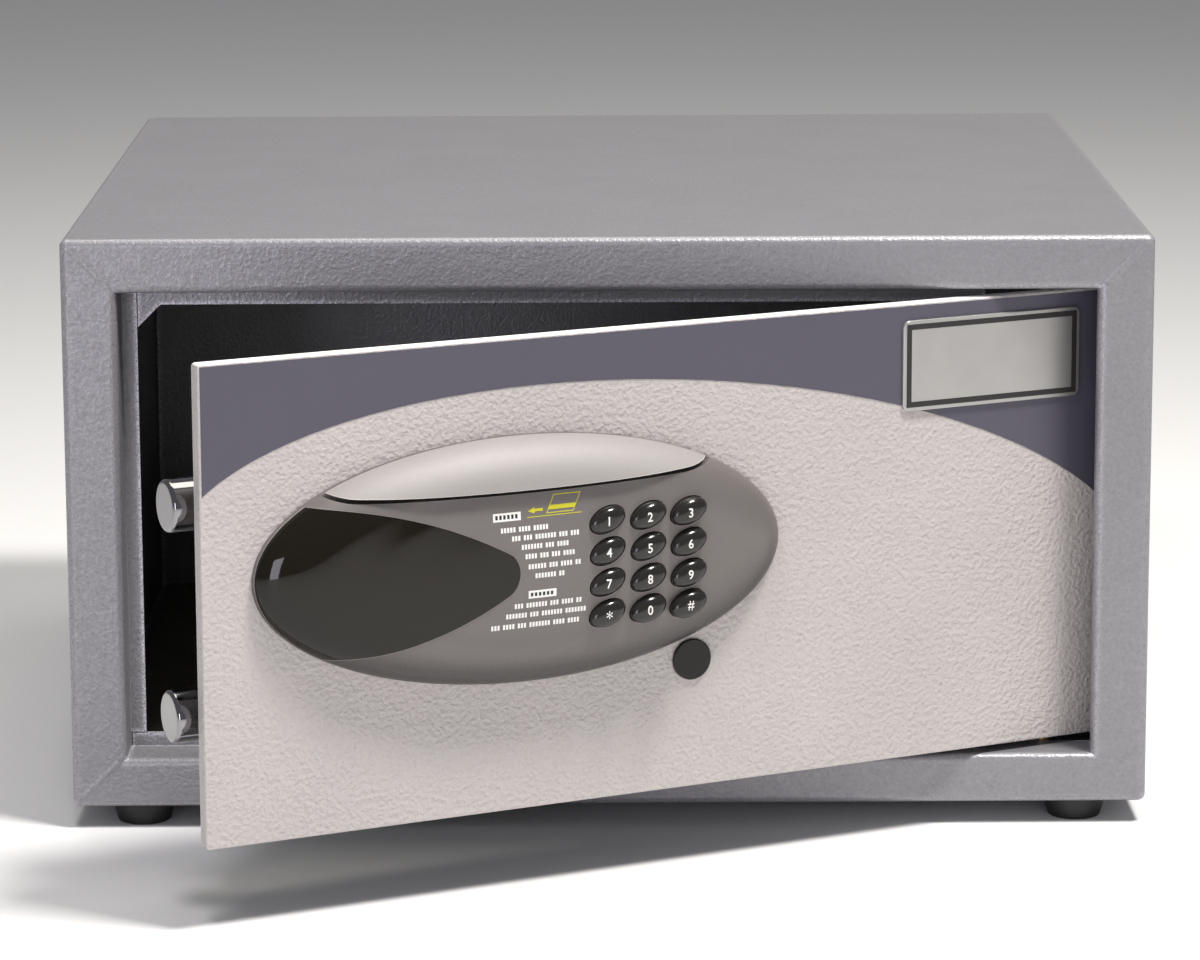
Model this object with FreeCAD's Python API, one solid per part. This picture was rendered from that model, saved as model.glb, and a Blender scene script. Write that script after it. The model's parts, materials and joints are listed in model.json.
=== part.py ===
import FreeCAD, Part
import math
import os
from FreeCAD import Vector

# In-room hotel safe, millimetres. X runs to the right, Y into the safe, Z up.
# The origin is the centre of the body's underside, which is also the centre of the floor anchor pattern.
# Everything on the door is drawn with the door shut and then turned about the hinge by DOOR_OPEN.

# body
BODY_W, BODY_D, BODY_H = 430.0, 380.0, 230.0
SHEET = 2.0
FOLD_R = 3.0
FLANGE_SIDE, FLANGE_TOP, FLANGE_BOTTOM = 22.0, 21.5, 20.0
RETURN_D, RIGHT_RETURN_D = 20.8, 6.0
REAR_FLANGE = 14.0
ANCHOR_X, ANCHOR_Y, ANCHOR_R = 300.0, 200.0, 5.5
REAR_ANCHOR_X, REAR_ANCHOR_Z = 300.0, 170.0
FOOT_X, FOOT_Y, FOOT_R, FOOT_TAPER, FOOT_H = 188.0, 173.5, 13.0, 2.5, 9.0
FOOT_SCREW_R, FOOT_SCREW_HEAD_R, FOOT_SEAT = 2.0, 3.9, 4.0
NUT_R, NUT_T = 4.0, 3.0
MAT_T, MAT_SIDE, MAT_FRONT, MAT_REAR, MAT_ANCHOR_R, MAT_NUT_R = 3.0, 6.0, 26.0, 8.0, 10.0, 8.0

# door stops, welded behind the folded return
STOP_TOP_DROP, STOP_SIDE_LIP, STOP_BOTTOM_LIP = 7.7, 6.0, 5.3
STOP_LEG = 15.0
STOP_TOP_X0, STOP_BOTTOM_X0, STOP_RIGHT_END = -186.6, -192.6, 150.0
STOP_LEFT_Z0, STOP_LEFT_Z1, STOP_GUSSET = 25.7, 208.0, 9.0

# door plate and hinge
PLATE_T = 6.0
PLATE_SET_BACK = 14.5
PLATE_LEFT, PLATE_RIGHT = -189.0, 200.0
PLATE_Z0, PLATE_Z1 = 23.0, 205.5
HINGE_X, HINGE_DEPTH = 176.0, 25.5
ROD_R, PIN_R, BUSH_R, BUSH_L, PIN_PLAY = 5.5, 3.0, 4.0, 7.6, 0.05
BRACKET_X0, BRACKET_X1, BRACKET_Y0, BRACKET_Y1, BRACKET_T = 160.0, 206.0, 8.0, 38.0, 3.0
DOOR_OPEN = 25.0

# film and blank name plate on the door, measured from the plate's left edge
FILM_T, FILM_MARGIN, FILM_RISE = 0.2, 0.9, 92.0
ARC_A, ARC_B, ARC_S, ARC_Z, ARC_TILT = 208.3, 74.0, 193.3, 109.8, -6.5
BADGE_S0, BADGE_S1, BADGE_Z0, BADGE_Z1, BADGE_T = 292.0, 372.0, 163.0, 199.0, 1.2

# lock panel on the door: an ellipse, measured from the plate's left edge
PANEL_S, PANEL_Z = 128.4, 121.0
PANEL_A, PANEL_B, PANEL_TILT = 108.9, 47.8, -0.8
PANEL_RISE, PANEL_ROLL, PANEL_CROWN = 11.0, 12.0, 5.0
HOOD_RISE, HOOD_ROLL, HOOD_CROWN = 15.5, 17.0, 3.0
LENS_RISE = 11.3
ROLL_STEPS, CROWN_STEPS, CROWN_REACH = 6, 5, 0.93
PANEL_WALL = 2.5
SLOT_Z, SLOT_W, SLOT_FLOOR = 149.9, 1.8, 2.0
KEY_S, KEY_Z = 174.4, 117.85
KEY_PITCH_S, KEY_PITCH_Z = 17.2, 12.05
KEY_A, KEY_B, KEY_TILT = 7.7, 4.85, 20.5
KEY_FOOT, KEY_SKIRT, KEY_SHOULDER, KEY_DOME, KEY_ROLL = 8.8, 0.6, 15.3, 3.2, 3.8
CAP_S, CAP_Z, CAP_R = 200.1, 73.8, 8.1
BOARD_S0, BOARD_S1, BOARD_Z0, BOARD_Z1, BOARD_H, BOARD_T = 52.0, 205.0, 96.0, 141.0, 6.0, 1.6
DISPLAY_S, DISPLAY_Z, DISPLAY_W, DISPLAY_H, DIGIT_PITCH = 56.0, 108.0, 50.0, 19.0, 11.0
CABLE_S, CABLE_Z, CABLE_W = 140.4, 112.0, 13.0
HOUSING_SCREW_R, SCREW_HOLE_R = 2.0, 2.25
BARREL_R, CORE_R = 7.0, 5.0

# locking bolts and their drive
BOLT_R, BOLT_Z = 10.0, (70.0, 150.0)
BOLT_DEPTH = 20.0
BOLT_REACH = 6.5
BOLT_LEN = 45.5
GUIDE_X0, GUIDE_X1, GUIDE_HALF = -167.5, -153.5, 13.5
GEAR_MODULE, GEAR_TEETH = 1.0, 16
GEAR_X, RACK_Z = -115.0, 110.0
GEAR_Z = RACK_Z + GEAR_MODULE * GEAR_TEETH / 2
SHAFT_R = 2.0

# inner cover
COVER_X0, COVER_X1, COVER_Z0, COVER_Z1 = -170.0, 140.0, 33.0, 196.0
COVER_DEPTH, COVER_T = 44.0, 1.5
COVER_SCREW_R, COVER_SCREW_IN = 1.75, 8.0
BATTERY_BAY = (42.0, 108.0, 92.0, 158.0)
TRAY_DEPTH, TRAY_T = 20.0, 1.5
CELL_R, CELL_L, CELL_PITCH = 7.1, 42.0, 15.2

FRONT = -BODY_D / 2
FACE = FRONT + PLATE_SET_BACK          # the plate's front face, door shut
BACK = FACE + PLATE_T                  # the plate's rear face, door shut
OPEN_X0, OPEN_X1 = -BODY_W / 2 + FLANGE_SIDE, BODY_W / 2 - FLANGE_SIDE
OPEN_Z0, OPEN_Z1 = FLANGE_BOTTOM, BODY_H - FLANGE_TOP
HINGE_Y = FRONT + HINGE_DEPTH
BOLT_Y = FACE + BOLT_DEPTH
X, Y, Z = Vector(1, 0, 0), Vector(0, 1, 0), Vector(0, 0, 1)


def block(x0, x1, y0, y1, z0, z1):
    return Part.makeBox(x1 - x0, y1 - y0, z1 - z0, Vector(x0, y0, z0))


def rod(r, start, axis, length):
    return Part.makeCylinder(r, length, start, axis)


def tube(r_out, r_in, start, axis, length):
    return rod(r_out, start, axis, length).cut(rod(r_in, start, axis, length))


def joined(shapes):
    return shapes[0].multiFuse(shapes[1:]).removeSplitter() if len(shapes) > 1 else shapes[0]


def prism(points, thickness):
    """A closed polygon, pushed along a vector."""
    return Part.Face(Part.makePolygon(points + points[:1])).extrude(thickness)


def rounded(shape, radius, wanted):
    """The shape with the edges that wanted() accepts rounded."""
    return shape.makeFillet(radius, [e for e in shape.Edges if wanted(e)])


def along(edge, axis):
    d = edge.valueAt(edge.LastParameter) - edge.valueAt(edge.FirstParameter)
    return d.Length > 0 and abs(abs(d.normalize().dot(axis)) - 1) < 1e-6


def panel_x(s):
    """X of a place s along the door from the plate's left edge."""
    return PLATE_LEFT + s


def proud(h):
    """Y of a plane that stands h in front of the door plate."""
    return FACE - h


# ---------------------------------------------------------------- body

def body_shell():
    """Folded wrap with a front flange, its return around the opening, and a narrow rear flange."""
    outer = block(-BODY_W / 2, BODY_W / 2, FRONT, -FRONT, 0, BODY_H)
    outer = outer.makeFillet(FOLD_R, outer.Edges)
    inner = block(-BODY_W / 2 + SHEET, BODY_W / 2 - SHEET, FRONT + SHEET, -FRONT - SHEET,
                  SHEET, BODY_H - SHEET)
    inner = inner.makeFillet(FOLD_R - SHEET, inner.Edges)
    mouth = block(OPEN_X0, OPEN_X1, FRONT - 1, FRONT + 50, OPEN_Z0, OPEN_Z1)
    returns = block(OPEN_X0 - SHEET, OPEN_X1 + SHEET, FRONT + SHEET / 2, FRONT + RETURN_D,
                    OPEN_Z0 - SHEET, OPEN_Z1 + SHEET)
    swing = block(OPEN_X1 - 1, OPEN_X1 + SHEET + 1, FRONT + RIGHT_RETURN_D, FRONT + RETURN_D + 1,
                  OPEN_Z0, OPEN_Z1)
    rear = block(-BODY_W / 2 + REAR_FLANGE, BODY_W / 2 - REAR_FLANGE, 0, -FRONT + 1,
                 REAR_FLANGE, BODY_H - REAR_FLANGE)
    shell = outer.cut(inner).cut(rear).fuse(returns).cut(mouth).cut(swing)

    def mouth_edge(e):
        b = e.BoundBox
        return (abs(b.YMin - FRONT) < 1e-3 and abs(b.YMax - FRONT) < 1e-3
                and b.XMin > OPEN_X0 - 1 and b.XMax < OPEN_X1 + 1 and b.ZMin > 10 and b.ZMax < BODY_H - 10)

    shell = rounded(shell, FOLD_R, mouth_edge)
    for x, y in corners(ANCHOR_X / 2, ANCHOR_Y / 2):
        shell = shell.cut(rod(ANCHOR_R, Vector(x, y, -1), Z, SHEET + 2))
    for x, y in corners(FOOT_X, FOOT_Y):
        shell = shell.cut(rod(FOOT_SCREW_R, Vector(x, y, -1), Z, SHEET + 2))
    return shell


def corners(x, y):
    return [(sx * x, sy * y) for sy in (-1, 1) for sx in (-1, 1)]


def back_panel():
    """Flat plate welded inside the rear flange, with two wall anchor holes."""
    edge = SHEET + 1.0
    plate = block(-BODY_W / 2 + edge, BODY_W / 2 - edge, -FRONT - 2 * SHEET, -FRONT - SHEET,
                  edge, BODY_H - edge)
    for side in (-1, 1):
        hole = rod(ANCHOR_R, Vector(side * REAR_ANCHOR_X / 2, -FRONT - 10, REAR_ANCHOR_Z), Y, 20)
        plate = plate.cut(hole)
    return plate


def floor_mat():
    """Felt mat on the floor, punched over the anchor holes and cleared around the foot screws' nuts."""
    half = BODY_W / 2 - MAT_SIDE
    mat = block(-half, half, FRONT + MAT_FRONT, -FRONT - MAT_REAR, SHEET, SHEET + MAT_T)
    mat = rounded(mat, 4.0, lambda e: along(e, Z))
    for x, y in corners(ANCHOR_X / 2, ANCHOR_Y / 2):
        mat = mat.cut(rod(MAT_ANCHOR_R, Vector(x, y, 0), Z, 10))
    for x, y in corners(FOOT_X, FOOT_Y):
        mat = mat.cut(rod(MAT_NUT_R, Vector(x, y, 0), Z, 10))
    return mat


def foot(x, y):
    """Tapered rubber foot with a counterbore for its screw."""
    body = Part.makeCone(FOOT_R - FOOT_TAPER, FOOT_R, FOOT_H, Vector(x, y, -FOOT_H), Z)
    body = rounded(body, 0.6, lambda e: abs(e.BoundBox.ZMax + FOOT_H) < 1e-3 and e.BoundBox.XLength > 5)
    body = body.cut(rod(FOOT_SCREW_HEAD_R + 0.3, Vector(x, y, -FOOT_H), Z, FOOT_H - FOOT_SEAT))
    return body.cut(rod(FOOT_SCREW_R, Vector(x, y, -FOOT_H), Z, FOOT_H))


def foot_screws():
    """Four pan-head screws up through the feet, each with its nut inside the body."""
    made = []
    for x, y in corners(FOOT_X, FOOT_Y):
        head = rod(FOOT_SCREW_HEAD_R, Vector(x, y, -FOOT_SEAT), -Z, 2.4)
        shank = rod(FOOT_SCREW_R, Vector(x, y, -FOOT_SEAT), Z, FOOT_SEAT + SHEET + NUT_T + 0.6)
        ring = [Vector(x + NUT_R * math.cos(a), y + NUT_R * math.sin(a), SHEET)
                for a in [math.radians(60 * i) for i in range(6)]]
        made.append(joined([head, shank, prism(ring, Vector(0, 0, NUT_T))]))
    return Part.makeCompound(made)


def angle_strip(u0, u1, lip, leg, depth, place):
    """Folded angle strip. place(u, v, d) puts length u, height v over the return's face and depth d."""
    t = SHEET
    section = [(-lip, depth), (-lip, depth + t), (t * 2, depth + t), (t * 2, depth - leg),
               (t, depth - leg), (t, depth)]
    face = [place(u0, v, d) for v, d in section]
    return prism(face, place(u1, 0, 0) - place(u0, 0, 0))


def door_stop_top():
    """Top stop with a small gusset in its left corner."""
    strip = angle_strip(STOP_TOP_X0, STOP_RIGHT_END, STOP_TOP_DROP, STOP_LEG, RETURN_D,
                        lambda u, v, d: Vector(u, FRONT + d, OPEN_Z1 + v))
    y, z = FRONT + RETURN_D, OPEN_Z1 - STOP_TOP_DROP
    gusset = prism([Vector(STOP_TOP_X0, y, z), Vector(STOP_TOP_X0 + STOP_GUSSET, y, z),
                    Vector(STOP_TOP_X0, y, z - STOP_GUSSET)], Vector(0, SHEET, 0))
    return joined([strip, gusset])


def door_stop_bottom():
    return angle_strip(STOP_BOTTOM_X0, STOP_RIGHT_END, STOP_BOTTOM_LIP, STOP_LEG, RETURN_D,
                       lambda u, v, d: Vector(u, FRONT + d, OPEN_Z0 - v))


def door_stop_left():
    return angle_strip(STOP_LEFT_Z0, STOP_LEFT_Z1, STOP_SIDE_LIP, STOP_LEG, RETURN_D,
                       lambda u, v, d: Vector(OPEN_X0 - v, FRONT + d, u))


def hinge_bracket(z0):
    """Pad welded on the return, bored for the hinge bush."""
    pad = block(BRACKET_X0, BRACKET_X1, FRONT + BRACKET_Y0, FRONT + BRACKET_Y1, z0, z0 + BRACKET_T)
    pad = rounded(pad, 4.0, lambda e: along(e, Z))
    return pad.cut(rod(BUSH_R, Vector(HINGE_X, HINGE_Y, z0 - 1), Z, BRACKET_T + 2))


def hinge_bushes():
    """The bronze bushes that the hinge rod's turned ends run in."""
    low = OPEN_Z0 - SHEET - BRACKET_T
    high = OPEN_Z1 + SHEET + BRACKET_T - BUSH_L
    return Part.makeCompound([tube(BUSH_R, PIN_R + PIN_PLAY, Vector(HINGE_X, HINGE_Y, z), Z, BUSH_L)
                              for z in (low, high)])


# ---------------------------------------------------------------- lock panel outlines

def ellipse_face(a, b, x, y, z, tilt=0.0):
    """An upright ellipse in the plane at this y, its long axis tilted up to the right."""
    wire = Part.Wire([Part.Ellipse(Vector(0, 0, 0), a, b).toShape()])
    wire.rotate(Vector(0, 0, 0), X, 90)
    wire.rotate(Vector(0, 0, 0), Y, -tilt)
    wire.translate(Vector(x, y, z))
    return wire


def rolled(roll, rise, steps):
    """Inset and height pairs up a quarter-round edge."""
    turns = [math.pi / 2 * i / steps for i in range(steps + 1)]
    return [(roll * (1 - math.cos(t)), rise * math.sin(t)) for t in turns]


def domed(a, b, x, z, levels, tilt):
    """An oval dome through (inset, height) levels, all of one shape, with a small flat top."""
    sections = [ellipse_face(a * (b - d) / b, b - d, x, proud(h), z, tilt) for d, h in levels]
    return Part.makeLoft(sections, True, False)


def panel_form(rise, roll, crown, wall=0.0, base=0.0):
    """The panel's oval: a rolled edge, then a gentle crown. wall offsets it inwards for a hollow."""
    b = PANEL_B - wall
    levels = rolled(roll - wall, rise - wall, ROLL_STEPS)[1:]
    levels += [(b - (PANEL_B - roll) * (1 - CROWN_REACH * i / CROWN_STEPS), rise - wall)
               for i in range(1, CROWN_STEPS + 1)]
    raised = [(d, h + crown * (1 - ((b - d) / PANEL_B) ** 2)) for d, h in levels]
    return domed(PANEL_A - wall, b, panel_x(PANEL_S), PANEL_Z, [(0.0, base)] + raised, PANEL_TILT)


def region(edges, h0=-1.0, h1=40.0):
    """A flat outline of edges at y = 0, pushed through the panel from h0 to h1 in front of the plate."""
    face = Part.Face(Part.Wire(edges))
    face.translate(Vector(0, proud(h0), 0))
    return face.extrude(Vector(0, h0 - h1, 0))


def flat(s, z):
    return Vector(panel_x(s), 0, z)


def outline(*runs):
    """Edges through points: a run of three makes an arc, a run of two a straight line."""
    return [Part.Arc(*run).toShape() if len(run) == 3 else Part.LineSegment(*run).toShape() for run in runs]


def above_slot(offset, h0=-1.0):
    """Everything above the swipe slot's centre line, moved up by offset."""
    up = Vector(0, 0, offset)
    start, left = flat(36, 161) + up, flat(56, 151.4) + up
    right, end = flat(190, 151.2) + up, flat(217, 158) + up
    top_r, top_l = flat(240, 190), flat(10, 190)
    edges = outline((start, flat(45, 154.6) + up, left), (left, flat(124, SLOT_Z) + up, right),
                    (right, flat(204, 152.9) + up, end), (end, top_r), (top_r, top_l), (top_l, start))
    return region(edges, h0)


def window_region(grow):
    """The display window: an egg that points right, its left side the panel's own edge."""
    corner, upper = flat(37.0, 149.6 + grow), flat(118.0, 125.8 + grow)
    lower, heel = flat(116.8, 111.0 - grow), flat(50.0, 91.5 - grow)
    far_low, far_high = flat(5.0, 91.5 - grow), flat(5.0, 149.6 + grow)
    edges = outline((corner, flat(84.0, 140.9 + grow), upper), (upper, flat(120.8 + grow, 118.4), lower),
                    (lower, flat(84.8, 96.8 - grow), heel), (heel, far_low),
                    (far_low, far_high), (far_high, corner))
    rim = 0.6 - grow
    edge = ellipse_face(PANEL_A - rim, PANEL_B - rim, panel_x(PANEL_S), proud(-1), PANEL_Z, PANEL_TILT)
    return region(edges).common(Part.Face(edge).extrude(Vector(0, -40, 0)))


SCREW_PLACES = ((128.0, 82.5), (214.0, 124.0), (80.0, 156.5), (170.0, 156.5))


def key_places():
    """Each key's name and centre, row by row from the top left."""
    rows = (("1", "2", "3"), ("4", "5", "6"), ("7", "8", "9"), ("star", "0", "hash"))
    return [(name, KEY_S + (c - 1) * KEY_PITCH_S, KEY_Z + (1.5 - r) * KEY_PITCH_Z)
            for r, row in enumerate(rows) for c, name in enumerate(row)]


# ---------------------------------------------------------------- door, drawn shut

def door_plate():
    plate = block(PLATE_LEFT, PLATE_RIGHT, FACE, BACK, PLATE_Z0, PLATE_Z1)
    plate = rounded(plate, 1.5, lambda e: along(e, Y))
    plate = rounded(plate, 0.7, lambda e: abs(e.BoundBox.YMax - FACE) < 1e-3)
    holes = [rod(SCREW_HOLE_R, Vector(panel_x(s), FACE - 1, z), Y, 10) for s, z in SCREW_PLACES]
    holes.append(rod(BARREL_R, Vector(panel_x(CAP_S), FACE - 1, CAP_Z), Y, 10))
    holes.append(rod(CABLE_W / 2 + 3.5, Vector(panel_x(CABLE_S), FACE - 1, CABLE_Z), Y, 10))
    holes += [rod(COVER_SCREW_R, Vector(x, BACK - 4, z), Y, 5) for x, z in cover_screw_places()]
    return plate.cut(Part.makeCompound(holes))


def decor_film():
    """Smooth printed film over the plate's upper corners, ending in a long tilted elliptical arc."""
    film = block(PLATE_LEFT + FILM_MARGIN, PLATE_RIGHT - FILM_MARGIN, FACE - FILM_T, FACE,
                 PLATE_Z0 + FILM_RISE, PLATE_Z1 - FILM_MARGIN)
    oval = ellipse_face(ARC_A, ARC_B, panel_x(ARC_S), FACE + 1, ARC_Z, ARC_TILT)
    return film.cut(Part.Face(oval).extrude(Vector(0, -3, 0)))


def name_badge():
    """Blank name plate on the door's hinge side."""
    top = FACE - FILM_T - BADGE_T
    badge = block(panel_x(BADGE_S0), panel_x(BADGE_S1), top, FACE - FILM_T, BADGE_Z0, BADGE_Z1)
    badge = rounded(badge, 3.0, lambda e: along(e, Y))
    return rounded(badge, 0.4, lambda e: abs(e.BoundBox.YMax - top) < 1e-3)


def hinge_rod():
    """Full-height rod welded behind the plate, its ends turned down to run in the bushes."""
    middle = rod(ROD_R, Vector(HINGE_X, HINGE_Y, PLATE_Z0), Z, PLATE_Z1 - PLATE_Z0)
    middle = middle.cut(block(150, 200, FRONT, BACK, 0, BODY_H))
    pin = rod(PIN_R, Vector(HINGE_X, HINGE_Y, PLATE_Z0 - 7.5), Z, PLATE_Z1 - PLATE_Z0 + 15.0)
    return joined([middle, pin])


def panel_screw_bosses(form, places, radius, base):
    """Round bosses from the plate up into the shell's wall."""
    return [rod(radius, Vector(panel_x(s), proud(base), z), -Y, 30).common(form) for s, z in places]


def lock_housing():
    """Moulded shell: window opening, key openings, and a low step that carries the card hood."""
    form = panel_form(PANEL_RISE, PANEL_ROLL, PANEL_CROWN)
    shell = form.cut(above_slot(-SLOT_W / 2, SLOT_FLOOR))
    hollow = panel_form(PANEL_RISE, PANEL_ROLL, PANEL_CROWN, PANEL_WALL, -0.01)
    shell = shell.cut(hollow.cut(above_slot(-SLOT_W / 2 - PANEL_WALL)))
    shell = shell.multiFuse(panel_screw_bosses(form, SCREW_PLACES[:2], 3.6, 0.0))
    cuts = [window_region(0.15)]
    cuts += [rod(HOUSING_SCREW_R, Vector(panel_x(s), proud(-1), z), -Y, 11) for s, z in SCREW_PLACES]
    cuts += [Part.Face(ellipse_face(KEY_A + 0.3, KEY_B + 0.3, panel_x(s), proud(8), z, KEY_TILT))
             .extrude(Vector(0, -20, 0)) for _, s, z in key_places()]
    return shell.cut(Part.makeCompound(cuts))


def card_slot_hood():
    """Raised crescent over the swipe slot, hollow behind, with a window for the reader head."""
    form = panel_form(HOOD_RISE, HOOD_ROLL, HOOD_CROWN).common(above_slot(SLOT_W / 2, SLOT_FLOOR))
    hollow = panel_form(HOOD_RISE, HOOD_ROLL, HOOD_CROWN, PANEL_WALL)
    hood = form.cut(hollow.common(above_slot(SLOT_W / 2 + PANEL_WALL)))
    hood = hood.multiFuse(panel_screw_bosses(form, SCREW_PLACES[2:], 3.8, SLOT_FLOOR))
    holes = [rod(HOUSING_SCREW_R, Vector(panel_x(s), proud(0), z), -Y, 9.6) for s, z in SCREW_PLACES[2:]]
    return hood.cut(Part.makeCompound(holes + [reader_space(0.2)]))


def reader_space(play):
    """The reader head's block, grown by play and out through the slot's wall."""
    x = panel_x(125.0)
    low = SLOT_Z + SLOT_W / 2
    return block(x - 6 - play, x + 6 + play, proud(11 + play), proud(4.5 - play), low - 3 * play, low + 7)


def card_reader_head():
    """Magnetic head that faces the slot, its nose level with the slot's upper wall."""
    head = reader_space(0.0)
    return rounded(head, 0.8, lambda e: along(e, Y) and e.BoundBox.ZMin < SLOT_Z + 4)


def display_window():
    """Glossy tinted lens that follows the panel's own curve."""
    outer = panel_form(LENS_RISE, PANEL_ROLL, PANEL_CROWN)
    hollow = panel_form(LENS_RISE, PANEL_ROLL, PANEL_CROWN, PANEL_WALL, -0.01)
    return outer.cut(hollow).common(window_region(0.0))


def led_display():
    """Four-digit module behind the window."""
    x, top = panel_x(DISPLAY_S), BOARD_H + 5.0
    body = block(x, x + DISPLAY_W, proud(top), proud(BOARD_H), DISPLAY_Z, DISPLAY_Z + DISPLAY_H)
    digits = [block(left, left + DIGIT_PITCH - 3, proud(top + 0.5), proud(top),
                    DISPLAY_Z + 3, DISPLAY_Z + DISPLAY_H - 3)
              for left in [x + 4 + DIGIT_PITCH * i for i in range(4)]]
    return joined([body] + digits)


def keypad_board():
    """Circuit board behind the keys and the display."""
    return block(panel_x(BOARD_S0), panel_x(BOARD_S1), proud(BOARD_H), proud(BOARD_H - BOARD_T),
                 BOARD_Z0, BOARD_Z1)


def keypad_membrane():
    """Rubber sheet with a dome under each key."""
    top = BOARD_H + 0.8
    half_s, half_z = 1.5 * KEY_PITCH_S + 0.7, 2 * KEY_PITCH_Z + 0.2
    sheet = block(panel_x(KEY_S - half_s), panel_x(KEY_S + half_s), proud(top), proud(BOARD_H),
                  KEY_Z - half_z, KEY_Z + half_z)
    domes = [Part.makeCone(4.2, 3.2, 0.5, Vector(panel_x(s), proud(top), z), -Y)
             for _, s, z in key_places()]
    return joined([sheet] + domes)


def key_cap(s, z):
    """Domed oval key with a narrow retaining skirt."""
    x = panel_x(s)
    levels = [(d, KEY_SHOULDER + h) for d, h in rolled(KEY_ROLL, KEY_DOME, ROLL_STEPS)]
    top = domed(KEY_A, KEY_B, x, z, levels, KEY_TILT)
    stem = Part.Face(ellipse_face(KEY_A, KEY_B, x, proud(KEY_FOOT), z, KEY_TILT))
    skirt = Part.Face(ellipse_face(KEY_A + 0.55, KEY_B + 0.55, x, proud(KEY_FOOT), z, KEY_TILT))
    return joined([stem.extrude(Vector(0, KEY_FOOT - KEY_SHOULDER, 0)),
                   skirt.extrude(Vector(0, -KEY_SKIRT, 0)), top])


def screw(start, axis, head_r, head_l, shank_r, shank_l):
    """Pan-head screw: start is under the head, axis points along the shank."""
    head = rod(head_r, start, -axis, head_l)
    head = rounded(head, 0.6, lambda e: (e.BoundBox.Center - start).dot(axis) < -head_l + 0.01
                   and e.BoundBox.DiagonalLength > head_r)
    arm = head_r * 0.6
    drive = joined([block(-arm, arm, -0.4, 0.4, -1, 1), block(-0.4, 0.4, -arm, arm, -1, 1)])
    drive.Placement = FreeCAD.Placement(start - axis * head_l, FreeCAD.Rotation(Z, axis))
    return joined([head, rod(shank_r, start, axis, shank_l)]).cut(drive)


def housing_screws():
    """Four screws from inside the door that hold the housing and the hood."""
    shank = PLATE_T + 9.0
    return Part.makeCompound([screw(Vector(panel_x(s), BACK, z), -Y, 3.8, 2.6, HOUSING_SCREW_R, shank)
                              for s, z in SCREW_PLACES])


def override_lock_body():
    """Cylinder lock in the plate, held by a nut behind."""
    x = panel_x(CAP_S)
    barrel = tube(BARREL_R, CORE_R + PIN_PLAY, Vector(x, FACE + 3.0, CAP_Z), Y, 26.5)
    nut = tube(BARREL_R + 3.0, BARREL_R, Vector(x, BACK, CAP_Z), Y, 4.0)
    return joined([barrel, nut])


def override_core():
    """Turning core with its keyway."""
    x = panel_x(CAP_S)
    core = rod(CORE_R, Vector(x, FACE + 3.2, CAP_Z), Y, 26.3)
    tail = block(x - 3, x + 3, FACE + 29.5, FACE + 33.5, CAP_Z - 3, CAP_Z + 3)
    keyway = block(x - 0.9, x + 0.9, FACE, FACE + 18, CAP_Z - 3.4, CAP_Z + 3.4)
    return joined([core, tail]).cut(keyway)


def override_cam():
    """Lever on the core's tail that reaches the bolt bar's arm."""
    x = panel_x(CAP_S)
    plate = block(x - 5, x + 5, FACE + 30.5, FACE + 32.5, CAP_Z - 5, CAP_Z + 21)
    plate = rounded(plate, 4.0, lambda e: along(e, Y))
    return plate.cut(block(x - 3, x + 3, FACE, FACE + 60, CAP_Z - 3, CAP_Z + 3))


def keyhole_cap():
    """Push-in cap over the override keyhole."""
    x = panel_x(CAP_S)
    disc = rod(CAP_R, Vector(x, proud(1.3), CAP_Z), Y, 1.2)
    disc = rounded(disc, 0.5, lambda e: abs(e.BoundBox.YMax - proud(1.3)) < 1e-3)
    return joined([disc, rod(BARREL_R - 0.1, Vector(x, proud(0.2), CAP_Z), Y, 2.9)])


def cover_screw_places():
    columns = (COVER_X0 + COVER_SCREW_IN, COVER_X1 - COVER_SCREW_IN)
    rows = (COVER_Z0 + COVER_SCREW_IN, COVER_Z1 - COVER_SCREW_IN)
    return [(x, z) for x in columns for z in rows]


def inner_cover():
    """Pressed cover over the mechanism, with openings for the bolts and the battery bay."""
    y1 = BACK + COVER_DEPTH
    outer = block(COVER_X0, COVER_X1, BACK, y1, COVER_Z0, COVER_Z1)
    outer = rounded(outer, 3.0, lambda e: e.BoundBox.YMax > y1 - 1e-3)
    t = COVER_T
    inner = block(COVER_X0 + t, COVER_X1 - t, BACK - 1, y1 - t, COVER_Z0 + t, COVER_Z1 - t)
    cover = outer.cut(inner)
    pillars = [rod(4.5, Vector(x, BACK, z), Y, COVER_DEPTH - t / 2) for x, z in cover_screw_places()]
    cover = cover.multiFuse(pillars)
    cuts = [rod(COVER_SCREW_R, Vector(x, BACK - 1, z), Y, 60) for x, z in cover_screw_places()]
    cuts += [rod(BOLT_R + 0.6, Vector(COVER_X0 - 5, BOLT_Y, z), X, 12) for z in BOLT_Z]
    x0, x1, z0, z1 = BATTERY_BAY
    cuts.append(block(x0, x1, y1 - 5, y1 + 5, z0, z1))
    return cover.cut(Part.makeCompound(cuts))


def inner_cover_screws():
    y = BACK + COVER_DEPTH
    return Part.makeCompound([screw(Vector(x, y, z), -Y, 3.4, 2.2, COVER_SCREW_R, COVER_DEPTH + 3.5)
                              for x, z in cover_screw_places()])


def battery_cover():
    """Sliding lid over the battery bay, with grip ribs."""
    x0, x1, z0, z1 = BATTERY_BAY
    y = BACK + COVER_DEPTH + 0.3
    lid = block(x0 - 2.5, x1 + 2.5, y, y + 1.8, z0 - 2.5, z1 + 2.5)
    lid = rounded(lid, 2.0, lambda e: along(e, Y))
    ribs = [block(x0 + 4 + 3 * i, x0 + 5.2 + 3 * i, y + 1.8, y + 2.6, z0 + 14, z1 - 14) for i in range(5)]
    return joined([lid] + ribs)


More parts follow.
